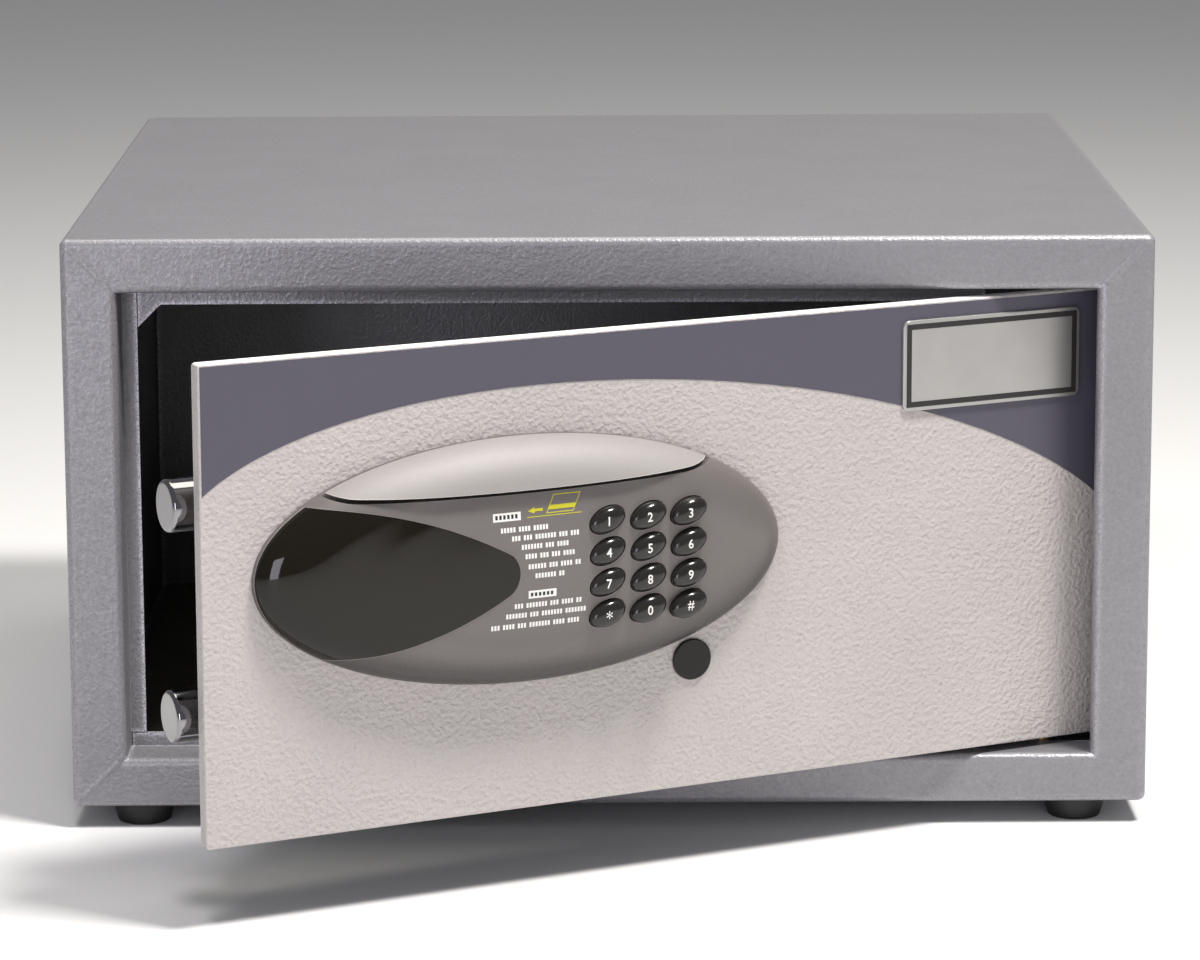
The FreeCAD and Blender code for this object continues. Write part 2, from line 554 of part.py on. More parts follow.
def battery_holder():
    """Open tray for four AA cells."""
    x0, x1, z0, z1 = BATTERY_BAY
    y0 = BACK + COVER_DEPTH - TRAY_DEPTH
    tray = block(x0 + 1, x1 - 1, y0, y0 + TRAY_DEPTH - 2.5, z0 + 1, z1 - 1)
    inside = 1 + TRAY_T
    tray = tray.cut(block(x0 + inside, x1 - inside, y0 + TRAY_T, y0 + TRAY_DEPTH, z0 + inside, z1 - inside))
    legs = [block(x, x + 4, BACK, y0, z, z + 4) for x in (x0 + 2, x1 - 6) for z in (z0 + 2, z1 - 6)]
    return joined([tray] + legs)


def batteries():
    """Four AA cells, each with its raised positive end."""
    x0, x1, z0, _ = BATTERY_BAY
    y = BACK + COVER_DEPTH - TRAY_DEPTH + TRAY_T + CELL_R + 0.1
    cells = []
    for i in range(4):
        x = (x0 + x1) / 2 + CELL_PITCH * (i - 1.5)
        can = rod(CELL_R, Vector(x, y, z0 + 3.4), Z, CELL_L)
        cells.append(joined([can, rod(2.6, Vector(x, y, z0 + 3.4 + CELL_L), Z, 1.2)]))
    return Part.makeCompound(cells)


def bolt_guide(z):
    """Bored block welded behind the plate, just inside the cover's side wall."""
    guide = block(GUIDE_X0, GUIDE_X1, BACK, BOLT_Y + GUIDE_HALF, z - GUIDE_HALF, z + GUIDE_HALF)
    guide = rounded(guide, 5.0, lambda e: along(e, X) and e.BoundBox.YMax > BOLT_Y)
    return guide.cut(rod(BOLT_R + PIN_PLAY, Vector(GUIDE_X0 - 1, BOLT_Y, z), X, GUIDE_X1 - GUIDE_X0 + 2))


def locking_bolt(z):
    """Round bolt with a rounded nose, drilled for its screw."""
    x = PLATE_LEFT - BOLT_REACH
    bolt = rod(BOLT_R, Vector(x, BOLT_Y, z), X, BOLT_LEN)
    bolt = rounded(bolt, 1.6, lambda e: e.BoundBox.XMax < x + 1e-3)
    return bolt.cut(rod(3.0, Vector(x + BOLT_LEN - 14, BOLT_Y, z), X, 20))


BAR_X0 = PLATE_LEFT - BOLT_REACH + BOLT_LEN
BAR_X1 = BAR_X0 + 5.0


def bolt_bar():
    """Upright bar that carries both bolts, with the long arm that the override lever works."""
    bar = block(BAR_X0, BAR_X1, BOLT_Y - 8, BOLT_Y + 8, BOLT_Z[0] - 13, BOLT_Z[1] + 13)
    arm = block(BAR_X1 - 1, 28.0, BOLT_Y + 5.5, BOLT_Y + 7.5, 84.5, 94.0)
    holes = [rod(3.0, Vector(BAR_X0 - 1, BOLT_Y, z), X, 10) for z in BOLT_Z]
    return joined([bar, arm]).cut(Part.makeCompound(holes))


def bolt_screws():
    return Part.makeCompound([screw(Vector(BAR_X1, BOLT_Y, z), -X, 5.0, 3.6, 3.0, 16.0) for z in BOLT_Z])


def involute_tooth(module, teeth, backlash):
    """Half-outline points of one gear tooth, centred on the up direction, from root to tip."""
    pitch_r = module * teeth / 2
    base_r = pitch_r * math.cos(math.radians(20))
    tip_r = pitch_r + module
    half = math.pi / (2 * teeth) - backlash / (2 * pitch_r)
    roll = math.sqrt((pitch_r / base_r) ** 2 - 1)
    half_at_base = half + roll - math.atan(roll)
    points = []
    for i in range(5):
        r = base_r + (tip_r - base_r) * i / 4
        t = math.sqrt(max((r / base_r) ** 2 - 1, 0))
        points.append((r, half_at_base - (t - math.atan(t))))
    return points


def drive_pinion():
    """Sixteen-tooth pinion that meshes with the rack below it, a tooth gap pointing down."""
    root_r = GEAR_MODULE * (GEAR_TEETH / 2 - 1.25)
    centre = Vector(GEAR_X, 0, GEAR_Z)
    flank = involute_tooth(GEAR_MODULE, GEAR_TEETH, 0.1)
    points = []
    for i in range(GEAR_TEETH):
        middle = 2 * math.pi * (i + 0.5) / GEAR_TEETH
        side = [(root_r, flank[0][1])] + flank
        points += [(r, middle - a) for r, a in side] + [(r, middle + a) for r, a in reversed(side)]
    ring = [centre + Vector(r * math.sin(a), BOLT_Y - 3, -r * math.cos(a)) for r, a in points]
    gear = prism(ring, Vector(0, 6, 0))
    return gear.cut(rod(SHAFT_R, centre + Vector(0, BOLT_Y - 5, 0), Y, 10))


def bolt_rack():
    """Rack screwed to the bolt bar, its teeth on top."""
    pitch = math.pi * GEAR_MODULE
    slope = math.tan(math.radians(20))
    half = pitch / 4 - 0.05
    top, root = RACK_Z + GEAR_MODULE, RACK_Z - 1.25 * GEAR_MODULE
    outline = [(BAR_X1, 101.0), (BAR_X1, root)]
    for k in range(-7, 5):
        x = GEAR_X + k * pitch
        outline += [(x - half - 1.25 * GEAR_MODULE * slope, root), (x - half + GEAR_MODULE * slope, top),
                    (x + half - GEAR_MODULE * slope, top), (x + half + 1.25 * GEAR_MODULE * slope, root)]
    outline += [(GEAR_X + 16, root), (GEAR_X + 16, 101.0)]
    return prism([Vector(x, BOLT_Y - 2.5, z) for x, z in outline], Vector(0, 5, 0))


def motor_shaft():
    return rod(SHAFT_R, Vector(GEAR_X, BOLT_Y - 3.5, GEAR_Z), Y, 12.0)


def gearmotor():
    """Small gearmotor behind its bracket: gearbox, then the motor can with its terminals."""
    z = GEAR_Z
    y = BOLT_Y + 6.0
    box = block(GEAR_X - 8, GEAR_X + 8, y, y + 9, z - 7, z + 7)
    can = rod(6.9, Vector(GEAR_X, y + 9, z), Y, 12.0)
    tabs = [block(GEAR_X + s - 1, GEAR_X + s + 1, y + 21, y + 22.2, z - 0.3, z + 0.3) for s in (-4, 4)]
    return joined([box, can] + tabs).cut(rod(SHAFT_R + 0.06, Vector(GEAR_X, y - 1, z), Y, 4.0))


def motor_bracket():
    """Z-shaped bracket: foot on the plate, leg, and the shelf that carries the gearmotor."""
    z = GEAR_Z
    shelf = block(GEAR_X - 11, GEAR_X + 11, BOLT_Y + 4, BOLT_Y + 6, z - 9, z + 20)
    leg = block(GEAR_X - 11, GEAR_X + 11, BACK, BOLT_Y + 6, z + 18, z + 20)
    foot_pad = block(GEAR_X - 11, GEAR_X + 11, BACK, BACK + 2, z + 18, z + 32)
    return joined([shelf, leg, foot_pad]).cut(rod(4.0, Vector(GEAR_X, BOLT_Y, z), Y, 10))


def drive_board():
    """Motor driver board on four spacers, with its connector and capacitor."""
    y = BACK + 7.0
    board = block(-68.0, 2.0, y, y + 1.6, 98.0, 150.0)
    spacers = [rod(2.5, Vector(x, BACK, z), Y, 7.0) for x in (-64, -2) for z in (102, 146)]
    connector = block(-58.0, -36.0, y + 1.6, y + 8.0, 104.0, 112.0)
    capacitor = rod(5.0, Vector(-20, y + 1.6, 138), Y, 12.0)
    chip = block(-46.0, -30.0, y + 1.6, y + 3.4, 122.0, 138.0)
    return joined([board, connector, capacitor, chip] + spacers)


def ribbon_cable():
    """Flat cable through the plate, from the keypad board to the driver board."""
    x, half = panel_x(CABLE_S), CABLE_W / 2
    return block(x - half, x + half, proud(BOARD_H - BOARD_T), BACK + 7.0, CABLE_Z - 0.5, CABLE_Z + 0.5)


# ---------------------------------------------------------------- writing

def turned(shape):
    """A door piece, opened from shut to the stored pose."""
    moved = shape.copy()
    moved.rotate(Vector(HINGE_X, HINGE_Y, 0), Z, DOOR_OPEN)
    return moved


def save(name, shape):
    solids = shape.Solids
    for solid in solids:
        assert solid.isValid() and solid.Volume > 0, name
    whole = solids[0] if len(solids) == 1 else Part.makeCompound(solids)
    whole.exportStep(f"parts/{name}.step")
    b = whole.BoundBox
    print(f"{name:22s} {len(solids)} solids {whole.Volume:12.1f} mm3  "
          f"x {b.XMin:.1f} {b.XMax:.1f}  y {b.YMin:.1f} {b.YMax:.1f}  z {b.ZMin:.1f} {b.ZMax:.1f}")


def main():
    os.makedirs("parts", exist_ok=True)
    body = {
        "body_shell": body_shell(), "back_panel": back_panel(), "floor_mat": floor_mat(),
        "door_stop_top": door_stop_top(), "door_stop_left": door_stop_left(),
        "door_stop_bottom": door_stop_bottom(), "foot_screws": foot_screws(),
        "hinge_bracket_upper": hinge_bracket(OPEN_Z1 + SHEET),
        "hinge_bracket_lower": hinge_bracket(OPEN_Z0 - SHEET - BRACKET_T), "hinge_bushes": hinge_bushes(),
    }
    feet = ("front_left", "front_right", "rear_left", "rear_right")
    for name, (x, y) in zip(feet, corners(FOOT_X, FOOT_Y)):
        body["foot_" + name] = foot(x, y)
    door = {
        "door_plate": door_plate(), "decor_film": decor_film(), "name_badge": name_badge(),
        "hinge_rod": hinge_rod(), "lock_housing": lock_housing(), "card_slot_hood": card_slot_hood(),
        "card_reader_head": card_reader_head(), "display_window": display_window(),
        "led_display": led_display(), "keypad_board": keypad_board(),
        "keypad_membrane": keypad_membrane(), "housing_screws": housing_screws(),
        "override_lock_body": override_lock_body(), "override_core": override_core(),
        "override_cam": override_cam(), "keyhole_cap": keyhole_cap(), "inner_cover": inner_cover(),
        "inner_cover_screws": inner_cover_screws(), "battery_cover": battery_cover(),
        "battery_holder": battery_holder(), "batteries": batteries(),
        "bolt_guide_lower": bolt_guide(BOLT_Z[0]), "bolt_guide_upper": bolt_guide(BOLT_Z[1]),
        "locking_bolt_lower": locking_bolt(BOLT_Z[0]), "locking_bolt_upper": locking_bolt(BOLT_Z[1]),
        "bolt_bar": bolt_bar(), "bolt_screws": bolt_screws(), "bolt_rack": bolt_rack(),
        "drive_pinion": drive_pinion(), "motor_shaft": motor_shaft(), "gearmotor": gearmotor(),
        "motor_bracket": motor_bracket(), "drive_board": drive_board(), "ribbon_cable": ribbon_cable(),
    }
    for name, s, z in key_places():
        door["key_" + name] = key_cap(s, z)
    for name, shape in body.items():
        save(name, shape)
    for name, shape in door.items():
        save(name, turned(shape))


main()
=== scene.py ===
import json
import math
import random

import bmesh
import bpy
from mathutils import Matrix, Vector
from mathutils.bvhtree import BVHTree


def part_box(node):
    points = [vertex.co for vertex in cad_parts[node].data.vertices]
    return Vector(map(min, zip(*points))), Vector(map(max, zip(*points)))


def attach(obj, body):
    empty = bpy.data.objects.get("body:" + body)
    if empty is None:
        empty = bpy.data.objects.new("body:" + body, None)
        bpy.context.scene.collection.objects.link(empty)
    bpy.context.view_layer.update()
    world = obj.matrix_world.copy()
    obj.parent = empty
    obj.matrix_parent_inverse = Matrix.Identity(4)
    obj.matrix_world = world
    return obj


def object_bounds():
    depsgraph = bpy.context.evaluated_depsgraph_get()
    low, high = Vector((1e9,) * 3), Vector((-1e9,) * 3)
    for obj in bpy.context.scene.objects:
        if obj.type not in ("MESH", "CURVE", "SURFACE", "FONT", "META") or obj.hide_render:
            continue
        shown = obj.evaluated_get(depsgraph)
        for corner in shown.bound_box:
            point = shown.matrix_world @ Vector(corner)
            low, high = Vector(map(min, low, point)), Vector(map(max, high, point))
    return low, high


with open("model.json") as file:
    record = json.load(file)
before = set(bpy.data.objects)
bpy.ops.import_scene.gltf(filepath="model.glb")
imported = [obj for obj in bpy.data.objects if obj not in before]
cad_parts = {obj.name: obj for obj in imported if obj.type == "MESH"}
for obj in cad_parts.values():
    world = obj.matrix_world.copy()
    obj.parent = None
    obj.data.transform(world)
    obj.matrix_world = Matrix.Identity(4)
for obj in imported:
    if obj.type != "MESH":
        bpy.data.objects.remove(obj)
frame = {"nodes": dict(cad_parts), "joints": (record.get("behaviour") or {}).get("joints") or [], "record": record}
cad_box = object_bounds()
MM = 0.001

# ---------------------------------------------------------------- the door's own frame

hinge = next(j for j in frame["joints"] if j["name"] == "door_hinge")
HINGE_AT = Vector(hinge["pos_m"])
AJAR = -math.radians(hinge["range_deg"][0])
OPENED = Matrix.Translation(HINGE_AT) @ Matrix.Rotation(AJAR, 4, "Z") @ Matrix.Translation(-HINGE_AT)
SHUT = OPENED.inverted()


def shut_box(node):
    """A door node's lowest and highest corners, with the door shut."""
    points = [SHUT @ v.co for v in frame["nodes"][node].data.vertices]
    low = Vector([min(p[i] for p in points) for i in range(3)])
    high = Vector([max(p[i] for p in points) for i in range(3)])
    return low, high


PLATE_LOW = shut_box("door_plate")[0]


# ---------------------------------------------------------------- materials

class Shader:
    """A material's node tree, with short names for the nodes that are used again and again."""

    def __init__(self, name, color, rough, metal=0.0, coat=0.0, spec=0.5):
        self.mat = bpy.data.materials.new(name)
        self.mat.use_nodes = True
        self.tree = self.mat.node_tree
        self.bsdf = self.tree.nodes["Principled BSDF"]
        self.set("Base Color", (*color, 1.0))
        self.set("Roughness", rough)
        self.set("Metallic", metal)
        self.set("Coat Weight", coat)
        self.set("Specular IOR Level", spec)
        self.color = (*color, 1.0)
        self.place = self.node("ShaderNodeTexCoord").outputs["Object"]
        self.height = None

    def set(self, socket, value):
        self.bsdf.inputs[socket].default_value = value

    def node(self, kind, **inputs):
        made = self.tree.nodes.new(kind)
        for key, value in inputs.items():
            self.feed(made.inputs[key.replace("_", " ")], value)
        return made

    def feed(self, socket, value):
        if isinstance(value, bpy.types.NodeSocket):
            self.tree.links.new(value, socket)
        else:
            socket.default_value = value

    def math(self, operation, a, b=0.0, clamp=False):
        made = self.tree.nodes.new("ShaderNodeMath")
        made.operation = operation
        made.use_clamp = clamp
        self.feed(made.inputs[0], a)
        self.feed(made.inputs[1], b)
        return made.outputs[0]

    def noise(self, size_mm, detail=2.0, rough=0.5, place=None):
        made = self.node("ShaderNodeTexNoise", Scale=1.0 / (size_mm * MM), Detail=detail, Roughness=rough)
        self.feed(made.inputs["Vector"], place or self.place)
        return made.outputs["Fac"]

    def remap(self, value, low, high, to_low=0.0, to_high=1.0):
        made = self.node("ShaderNodeMapRange", Value=value, From_Min=low, From_Max=high,
                         To_Min=to_low, To_Max=to_high)
        return made.outputs["Result"]

    def tint(self, amount, other):
        """Mixes another colour into the base colour so far."""
        made = self.tree.nodes.new("ShaderNodeMix")
        made.data_type = "RGBA"
        self.feed(made.inputs["Factor"], amount)
        self.feed(made.inputs["A"], self.color)
        self.feed(made.inputs["B"], (*other, 1.0) if isinstance(other, tuple) else other)
        self.color = made.outputs["Result"]
        self.feed(self.bsdf.inputs["Base Color"], self.color)

    def rough(self, value):
        self.feed(self.bsdf.inputs["Roughness"], value)

    def upward(self):
        """1 where the surface faces up, -1 where it faces down."""
        normal = self.node("ShaderNodeNewGeometry").outputs["Normal"]
        return self.node("ShaderNodeSeparateXYZ", Vector=normal).outputs["Z"]

    def edges(self, radius_mm):
        """0 on flat faces, rising to 1 on folded and machined edges."""
        soft = self.node("ShaderNodeBevel", Radius=radius_mm * MM)
        soft.samples = 4
        sharp = self.node("ShaderNodeNewGeometry")
        dot = self.tree.nodes.new("ShaderNodeVectorMath")
        dot.operation = "DOT_PRODUCT"
        self.feed(dot.inputs[0], soft.outputs["Normal"])
        self.feed(dot.inputs[1], sharp.outputs["Normal"])
        return self.remap(dot.outputs["Value"], 0.99, 0.85, 0.0, 1.0)

    def bump(self, height, depth_mm, strength=1.0):
        made = self.node("ShaderNodeBump", Strength=strength, Distance=depth_mm * MM, Height=height)
        if self.height is not None:
            self.feed(made.inputs["Normal"], self.height)
        self.height = made.outputs["Normal"]
        self.feed(self.bsdf.inputs["Normal"], self.height)


def srgb(r, g, b):
    """A linear colour from 0 to 255 values as a screen shows them."""
    return tuple(c / 255 / 12.92 if c / 255 <= 0.04045 else ((c / 255 + 0.055) / 1.055) ** 2.4
                 for c in (r, g, b))


def shaded(value, factor):
    return tuple(c * factor for c in value)


def body_paint():
    """Hammered powder coat: fine bright grain, slow patches, and a painted speckled highlight along the folded
    edges.
    """
    base = srgb(138, 137, 141)
    m = Shader("body_paint", base, 0.40, 0.35)
    grain = m.noise(1.5, 2.0, 0.55)
    m.tint(m.remap(m.noise(35.0, 2.0), 0.35, 0.65, 0.0, 0.25), shaded(base, 0.85))
    m.tint(m.remap(grain, 0.55, 0.72, 0.0, 0.3), shaded(base, 1.35))
    m.tint(m.remap(grain, 0.45, 0.30, 0.0, 0.35), shaded(base, 0.72))
    # painted highlight: the folded edges are tinted a speckled near-white in place of the light they catch
    fold_highlight = m.edges(3.4)
    sparkle = m.remap(m.noise(0.9, 2.0), 0.42, 0.56, 0.15, 0.9)
    m.tint(m.math("MULTIPLY", fold_highlight, sparkle), srgb(238, 234, 246))
    m.rough(m.remap(grain, 0.3, 0.7, 0.48, 0.30))
    m.bump(grain, 0.26)
    m.bump(m.noise(5.0, 1.0), 0.12)
    return m.mat


def door_paint():
    """Orange-peel powder coat, with a painted highlight on the plate's edges and its upward faces painted nearly
    white.
    """
    base = srgb(180, 174, 172)
    m = Shader("door_paint", base, 0.45)
    grain = m.noise(1.8, 1.5, 0.5)
    m.tint(m.remap(grain, 0.35, 0.55, 0.25, 0.0), shaded(base, 0.82))
    m.tint(m.remap(m.noise(60.0, 2.0), 0.35, 0.65, 0.0, 0.2), srgb(202, 192, 188))
    # painted highlight: the plate's edges are tinted near-white
    m.tint(m.math("MULTIPLY", m.edges(0.8), 0.8), srgb(240, 238, 236))
    # painted highlight: faces turned up, the plate's top edge among them, are painted nearly white in place of the
    # light they catch
    m.tint(m.remap(m.upward(), 0.6, 0.95, 0.0, 0.9), srgb(254, 252, 250))
    m.bump(m.remap(grain, 0.3, 0.7), 0.34)
    return m.mat


def film():
    base = srgb(78, 76, 88)
    m = Shader("film", base, 0.38)
    m.tint(m.remap(m.noise(45.0, 2.0), 0.35, 0.65, 0.0, 0.2), shaded(base, 0.9))
    m.bump(m.noise(0.8), 0.015)
    return m.mat


def satin(name, color, rough, metal, underside_shade):
    """Metallic lacquer: fine flake, painted shade where it turns down, and a painted highlight on its moulded
    edges.
    """
    m = Shader(name, color, rough, metal)
    flake = m.noise(0.35, 2.0, 0.6)
    # painted shade: faces turning down are darkened towards 30 % of the colour
    m.tint(m.remap(m.upward(), 0.05, -0.55, 0.0, underside_shade), shaded(color, 0.30))
    m.tint(m.remap(flake, 0.45, 0.75, 0.0, 0.3), shaded(color, 1.35))
    # painted highlight: the moulded edges are tinted up to twice as bright
    m.tint(m.math("MULTIPLY", m.edges(0.5), 0.8), shaded(color, 2.0))
    m.rough(m.remap(flake, 0.3, 0.7, rough * 1.1, rough * 0.9))
    m.bump(flake, 0.006)
    return m.mat


def plain(name, color, rough, metal=0.0, grain_mm=0.7, depth_mm=0.02, coat=0.0, spec=0.5, edge_highlight=0.25):
    """A surface with a fine grain, a slow change of shade, and a painted highlight along its edges."""
    m = Shader(name, color, rough, metal, coat, spec)
    grain = m.noise(grain_mm, 3.0, 0.6)
    slow = m.noise(grain_mm * 30, 2.0)
    m.tint(m.remap(slow, 0.35, 0.65, 0.0, 0.25), shaded(color, 0.82))
    # painted highlight: the edges are tinted paler, towards the colour's brightest channel
    if edge_highlight:
        edge_highlight_color = tuple(0.6 * c + 0.4 * max(color) + 0.05 for c in color)
        m.tint(m.math("MULTIPLY", m.edges(0.4), edge_highlight), edge_highlight_color)
    m.rough(m.remap(grain, 0.3, 0.7, rough * 0.88, rough * 1.12))
    m.bump(grain, depth_mm)
    return m.mat


MATERIALS = {
    "body_paint": body_paint(),
    "door_paint": door_paint(),
    "film": film(),
    "badge": plain("badge", srgb(186, 184, 182), 0.35, 0.8, 0.4, 0.01),
    "housing": satin("housing", srgb(116, 111, 109), 0.38, 0.35, 1.0),
    "hood": satin("hood", srgb(150, 146, 144), 0.60, 0.15, 0.4),
    "window": plain("window", srgb(22, 18, 11), 0.05, 0.0, 20.0, 0.002, 0.0, 0.36, 0.0),
    "keys": plain("keys", srgb(34, 32, 30), 0.16, 0.0, 0.5, 0.004),
    "black_plastic": plain("black_plastic", srgb(34, 30, 28), 0.45),
    "chrome": plain("chrome", srgb(148, 147, 150), 0.09, 1.0, 1.5, 0.004),
    "steel": plain("steel", srgb(170, 170, 172), 0.38, 1.0),
    "brass": plain("brass", srgb(190, 160, 105), 0.3, 1.0),
    "rubber": plain("rubber", srgb(24, 24, 24), 0.6, 0.0, 0.9, 0.05),
    # painted light: the felt is given a paler colour than the mat's own, in place of light that hardly reaches the
    # safe's floor
    "felt": plain("felt", srgb(128, 124, 114), 0.8, 0.0, 3.0, 1.2, edge_highlight=0.0),
    "board": plain("board", srgb(25, 82, 48), 0.35),
    "cover_paint": plain("cover_paint", srgb(70, 70, 73), 0.5, 0.0, 1.3, 0.12),
    "lid_plastic": plain("lid_plastic", srgb(36, 36, 37), 0.5, 0.0, 0.8, 0.05),
    "cell": plain("cell", srgb(48, 52, 66), 0.3),
    "motor_metal": plain("motor_metal", srgb(160, 160, 160), 0.35, 1.0),
    "cable": plain("cable", srgb(150, 150, 155), 0.5),
}
WHITE_INK = plain("white_ink", srgb(228, 226, 222), 0.5, 0.0, 0.3, 0.005, edge_highlight=0.0)
YELLOW_INK = plain("yellow_ink", srgb(196, 190, 34), 0.5, 0.0, 0.3, 0.005, edge_highlight=0.0)
DARK_INK = plain("dark_ink", srgb(38, 36, 36), 0.5, 0.0, 0.3, 0.005, edge_highlight=0.0)
CAP_GLOSS = plain("cap_gloss", srgb(22, 19, 17), 0.16, 0.0, 0.6, 0.006, 0.0, 0.3)

for part in frame["record"]["subparts"]:
    node = frame["nodes"][part["node"]]
    node.data.materials.clear()
    node.data.materials.append(MATERIALS[part["material_slot"]])
frame["nodes"]["keyhole_cap"].data.materials[0] = CAP_GLOSS


# ---------------------------------------------------------------- printing on the door

RAY_START = 0.05    # how far in front of the plate a ray starts, in m


def door_surface(node):
    """The node's surface with the door shut, for finding its height under a printed point."""
    data = frame["nodes"][node].data
    return BVHTree.FromPolygons([SHUT @ v.co for v in data.vertices],
                                [p.vertices[:] for p in data.polygons])


def printed(name, body, node, polygons, material, grid=1.2, lift=0.05):
    """Ink on a door piece: flat outlines in mm (along the door, up), laid on the node's own surface."""
    surface = door_surface(node)
    bm = bmesh.new()
    for outline in polygons:
        bm.faces.new([bm.verts.new((s, z, 0)) for s, z in outline])
    for axis in (0, 1):
        places = [v.co[axis] for v in bm.verts]
        line = math.floor(min(places) / grid) * grid + grid
        while line < max(places):
            at, normal = Vector((0, 0, 0)), Vector((0, 0, 0))
            at[axis], normal[axis] = line, 1
            whole = bm.verts[:] + bm.edges[:] + bm.faces[:]
            bmesh.ops.bisect_plane(bm, geom=whole, plane_co=at, plane_no=normal)
            line += grid
    for v in bm.verts:
        x, z = PLATE_LOW.x + v.co.x * MM, v.co.y * MM
        hit = surface.ray_cast(Vector((x, PLATE_LOW.y - RAY_START, z)), Vector((0, 1, 0)))[0]
        y = hit.y if hit else PLATE_LOW.y
        v.co = OPENED @ Vector((x, y - lift * MM, z))
    bmesh.ops.recalc_face_normals(bm, faces=bm.faces[:])
    out = OPENED.to_3x3() @ Vector((0, -1, 0))
    if sum(f.normal.dot(out) for f in bm.faces) < 0:
        bmesh.ops.reverse_faces(bm, faces=bm.faces[:])
    data = bpy.data.meshes.new(name)
    bm.to_mesh(data)
    bm.free()
    data.materials.append(material)
    piece = bpy.data.objects.new(name, data)
    bpy.context.scene.collection.objects.link(piece)
    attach(piece, body)
    return piece


def box(s0, s1, z0, z1):
    return [(s0, z0), (s1, z0), (s1, z1), (s0, z1)]


def frame_strips(s0, s1, z0, z1, width):
    return [box(s0, s1, z0, z0 + width), box(s0, s1, z1 - width, z1),
            box(s0, s0 + width, z0 + width, z1 - width), box(s1 - width, s1, z0 + width, z1 - width)]


def glyph(text, height, centre):
    """A single character's outline faces, scaled to a height and centred; the star and hash are thinner."""
    curve = bpy.data.curves.new("glyph", "FONT")
    curve.body = text
    curve.offset = THIN_STROKE if text in "*#" else STROKE
    curve.resolution_u = 4
    holder = bpy.data.objects.new("glyph", curve)
    data = bpy.data.meshes.new_from_object(holder)
    low = [min(v.co[i] for v in data.vertices) for i in range(2)]
    high = [max(v.co[i] for v in data.vertices) for i in range(2)]
    k = height / (high[1] - low[1])
    faces = [[(centre[0] + (data.vertices[i].co.x - (low[0] + high[0]) / 2) * k * GLYPH_NARROW,
               centre[1] + (data.vertices[i].co.y - (low[1] + high[1]) / 2) * k) for i in p.vertices]
             for p in data.polygons]
    bpy.data.objects.remove(holder)
    bpy.data.curves.remove(curve)
    bpy.data.meshes.remove(data)
    return faces


KEY_MARKS = {"1": "1", "2": "2", "3": "3", "4": "4", "5": "5", "6": "6", "7": "7", "8": "8", "9": "9",
             "star": "*", "0": "0", "hash": "#"}
MARK_HEIGHT, GLYPH_NARROW, STAR_HEIGHT = 3.6, 0.92, 0.85
MARK_OFFSET = (-0.7, 0.0)
STROKE, THIN_STROKE = 0.014, 0.004


def key_legends():
    for name, mark in KEY_MARKS.items():
        low, high = shut_box("key_" + name)
        centre = ((low.x + high.x) / 2 - PLATE_LOW.x, (low.z + high.z) / 2)
        at = (centre[0] / MM + MARK_OFFSET[0], centre[1] / MM + MARK_OFFSET[1])
        height = MARK_HEIGHT * (STAR_HEIGHT if mark == "*" else 1.0)
        key = "key_" + name
        printed("legend_" + name, key, key, glyph(mark, height, at), WHITE_INK, 0.6)


# rows of the instruction print: where each starts and ends along the door, and its height, in mm
ROWS = ((113.2, 133.5, 135.9), (117.6, 145.6, 132.5), (121.5, 141.6, 128.9), (123.0, 143.4, 125.2),
        (124.2, 146.3, 121.2), (127.0, 139.4, 117.5),
        (118.6, 146.4, 106.4), (115.2, 148.2, 102.7), (109.2, 145.4, 98.7))
HEADERS = ((110.2, 121.5, 139.3, 142.5), (124.2, 135.7, 108.9, 111.9))
BLOCK_W, BLOCK_H, BLOCK_PITCH, WORD_GAP = 0.86, 1.9, 1.26, 0.8
HEADER_MARKS, HEADER_END, HEADER_INSET, HEADER_FILL = 6, 0.9, 0.8, 0.6


def instruction_print():
    """Generic blocks in place of words, and two header boxes with dark marks inside them."""
    draw = random.Random(7)
    blocks = []
    for start, end, height in ROWS:
        s, left = start, draw.randint(3, 7)
        while s + BLOCK_W < end:
            blocks.append(box(s, s + BLOCK_W, height - BLOCK_H / 2, height + BLOCK_H / 2))
            left -= 1
            s += BLOCK_PITCH
            if left == 0:
                s += BLOCK_PITCH * WORD_GAP
                left = draw.randint(3, 8)
    printed("instruction_rows", "door", "lock_housing", blocks, WHITE_INK, 2.4)
    printed("instruction_headers", "door", "lock_housing", [box(*h) for h in HEADERS], WHITE_INK)
    marks = []
    for s0, s1, z0, z1 in HEADERS:
        pitch = (s1 - s0 - 1.6) / HEADER_MARKS
        for i in range(HEADER_MARKS):
            start = s0 + HEADER_END + i * pitch
            marks.append(box(start, start + pitch * HEADER_FILL, z0 + HEADER_INSET, z1 - HEADER_INSET))
    printed("instruction_header_marks", "door", "lock_housing", marks, DARK_INK, 2.4, 0.09)


def card_pictogram():
    """A card outline with its stripe, an arrow to the left, and the slot line under it."""
    lean, low, high, left, right, line = 0.48, 140.8, 147.8, 131.9, 143.2, 0.35
    stripe_low, stripe_high = low + 1.4, low + 3.0
    slot_line = box(124.0, 146.8, 139.85, 140.15)
    arrow_shaft = box(127.0, 130.6, 142.0, 143.0)
    arrow_head = [(124.4, 142.3), (127.2, 141.2), (127.2, 143.6)]

    def lean_box(s0, s1, z0, z1):
        a, b = (z0 - low) * lean, (z1 - low) * lean
        return [(s0 + a, z0), (s1 + a, z0), (s1 + b, z1), (s0 + b, z1)]

    shapes = [lean_box(left, right, low, low + line), lean_box(left, right, high - line, high),
              lean_box(left, left + line, low + line, high - line),
              lean_box(right - line, right, low + line, high - line),
              lean_box(left + line, right - line, stripe_low, stripe_high),
              slot_line, arrow_shaft, arrow_head]
    printed("card_pictogram", "door", "lock_housing", shapes, YELLOW_INK)


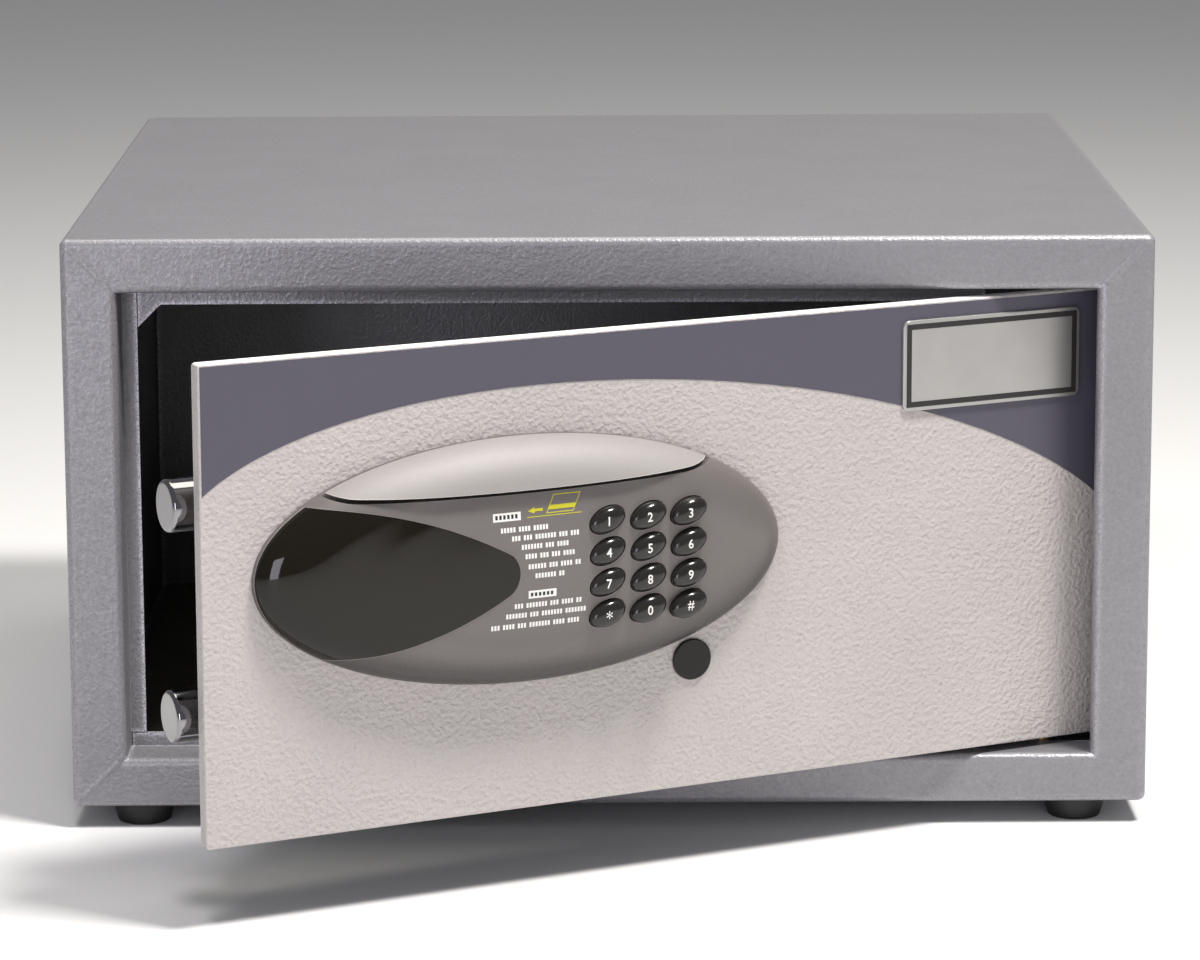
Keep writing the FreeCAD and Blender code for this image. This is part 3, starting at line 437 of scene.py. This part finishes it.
def badge_border():
    """Dark border printed around the blank name plate."""
    inset, width = 1.5, 2.2
    low, high = shut_box("name_badge")
    s0, s1 = (low.x - PLATE_LOW.x) / MM, (high.x - PLATE_LOW.x) / MM
    printed("badge_border", "door", "name_badge",
            frame_strips(s0 + inset, s1 - inset, low.z / MM + inset, high.z / MM - inset, width),
            DARK_INK, 6.0)


WELD_STEPS, WELD_HALF_STEPS = 24, 3


def mitre_welds():
    """Low painted-over weld beads across the front flange's four corners."""
    low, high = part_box("body_shell")
    reach, inner, half, rise, sunk = 4.0 * MM, 19.0 * MM, 1.3 * MM, 0.25 * MM, 0.02 * MM
    corners = (("lower_left", low[0], low[2], 1, 1), ("lower_right", high[0], low[2], -1, 1),
               ("upper_left", low[0], high[2], 1, -1), ("upper_right", high[0], high[2], -1, -1))
    for name, x, z, dx, dz in corners:
        bm = bmesh.new()
        rows = []
        for i in range(WELD_STEPS + 1):
            along = reach + (inner - reach) * i / WELD_STEPS
            wobble = 0.85 + 0.15 * math.sin(i * 2.1)
            row = []
            for j in range(2 * WELD_HALF_STEPS + 1):
                side = j / WELD_HALF_STEPS - 1
                across = side * half * wobble
                lift = rise * math.cos(side * math.pi / 2) - sunk
                at = (x + dx * (along + across), low[1] - lift, z + dz * (along - across))
                row.append(bm.verts.new(at))
            rows.append(row)
        for a, b in zip(rows, rows[1:]):
            for j in range(2 * WELD_HALF_STEPS):
                bm.faces.new((a[j], a[j + 1], b[j + 1], b[j]))
        bmesh.ops.recalc_face_normals(bm, faces=bm.faces[:])
        if sum(f.normal.y for f in bm.faces) > 0:
            bmesh.ops.reverse_faces(bm, faces=bm.faces[:])
        data = bpy.data.meshes.new("weld_" + name)
        bm.to_mesh(data)
        bm.free()
        for f in data.polygons:
            f.use_smooth = True
        data.materials.append(MATERIALS["body_paint"])
        piece = bpy.data.objects.new("weld_" + name, data)
        bpy.context.scene.collection.objects.link(piece)
        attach(piece, "safe_body")


mitre_welds()
key_legends()
instruction_print()
card_pictogram()
badge_border()


# ---------------------------------------------------------------- floor, light, camera

def stage_floor():
    bpy.ops.mesh.primitive_plane_add(size=12.0, location=(0, 0, cad_box[0][2]))
    floor = bpy.context.object
    floor.name = "floor"
    m = Shader("floor", (0.80, 0.80, 0.80), 0.6)
    m.tint(m.remap(m.noise(300.0), 0.3, 0.7, 0.0, 0.1), (0.76, 0.76, 0.76))
    floor.data.materials.append(m.mat)


def area_light(name, at, towards, size, power, color, glossy=True, diffuse=True):
    """A soft light; without glossy it isn't seen in reflections, without diffuse only in them."""
    data = bpy.data.lights.new(name, "AREA")
    data.shape = "RECTANGLE"
    data.size, data.size_y = size
    data.energy = power
    data.color = color
    light = bpy.data.objects.new(name, data)
    light.location = at
    light.rotation_euler = (Vector(towards) - Vector(at)).to_track_quat("-Z", "Y").to_euler()
    light.visible_glossy = glossy
    light.visible_diffuse = diffuse
    bpy.context.scene.collection.objects.link(light)


def lights():
    world = bpy.data.worlds.new("studio")
    world.use_nodes = True
    world.node_tree.nodes["Background"].inputs["Color"].default_value = (0.85, 0.86, 0.9, 1)
    world.node_tree.nodes["Background"].inputs["Strength"].default_value = 0.24
    bpy.context.scene.world = world
    area_light("key", (0.64, -0.62, 1.90), (0, -0.15, 0.1), (0.36, 0.36), 47, (1.0, 0.97, 0.93))
    area_light("fill", (-0.70, -1.75, 0.42), (0, -0.2, 0.1), (0.40, 1.0), 3, (0.88, 0.88, 1.0),
               glossy=False)
    area_light("card", (-0.58, -1.82, 0.27), (-0.1, -0.3, 0.1), (0.42, 0.7), 5.5, (0.90, 0.88, 1.0),
               diffuse=False)
    area_light("left_top", (-0.21, -0.72, 1.25), (-0.17, -0.2, 0.0), (0.2, 0.2), 5, (0.98, 0.96, 1.0),
               glossy=False)
    area_light("front", (0.20, -2.40, 0.60), (0, 0, 0.1), (1.4, 0.6), 6, (0.97, 0.97, 1.0),
               glossy=False)
    area_light("top", (0.0, 0.3, 1.6), (0, 0, 0.1), (1.2, 0.8), 10, (1.0, 0.95, 0.84))


# the camera solved from the photograph: its place in m, its turns in radians, its lens in mm
CAMERA_AT = (-0.01434, -1.93843, 0.50182)
CAMERA_YAW, CAMERA_PITCH, CAMERA_ROLL = -0.00635, -0.18572, 0.0039
SENSOR_WIDTH, LENS = 36.0, 135.49
IMAGE_WIDTH, SHIFT_PIXELS = 1200, -100


def camera():
    data = bpy.data.cameras.new("camera")
    data.sensor_width = SENSOR_WIDTH
    data.lens = LENS
    data.shift_y = SHIFT_PIXELS / IMAGE_WIDTH
    data.clip_start = 0.05
    cam = bpy.data.objects.new("camera", data)
    turn = (Matrix.Rotation(CAMERA_YAW, 4, "Z") @ Matrix.Rotation(CAMERA_PITCH, 4, "X")
            @ Matrix.Rotation(CAMERA_ROLL, 4, "Y") @ Matrix.Rotation(math.pi / 2, 4, "X"))
    cam.matrix_world = Matrix.Translation(CAMERA_AT) @ turn
    bpy.context.scene.collection.objects.link(cam)
    bpy.context.scene.camera = cam


stage_floor()
lights()
camera()
bpy.context.scene.view_settings.view_transform = "Standard"
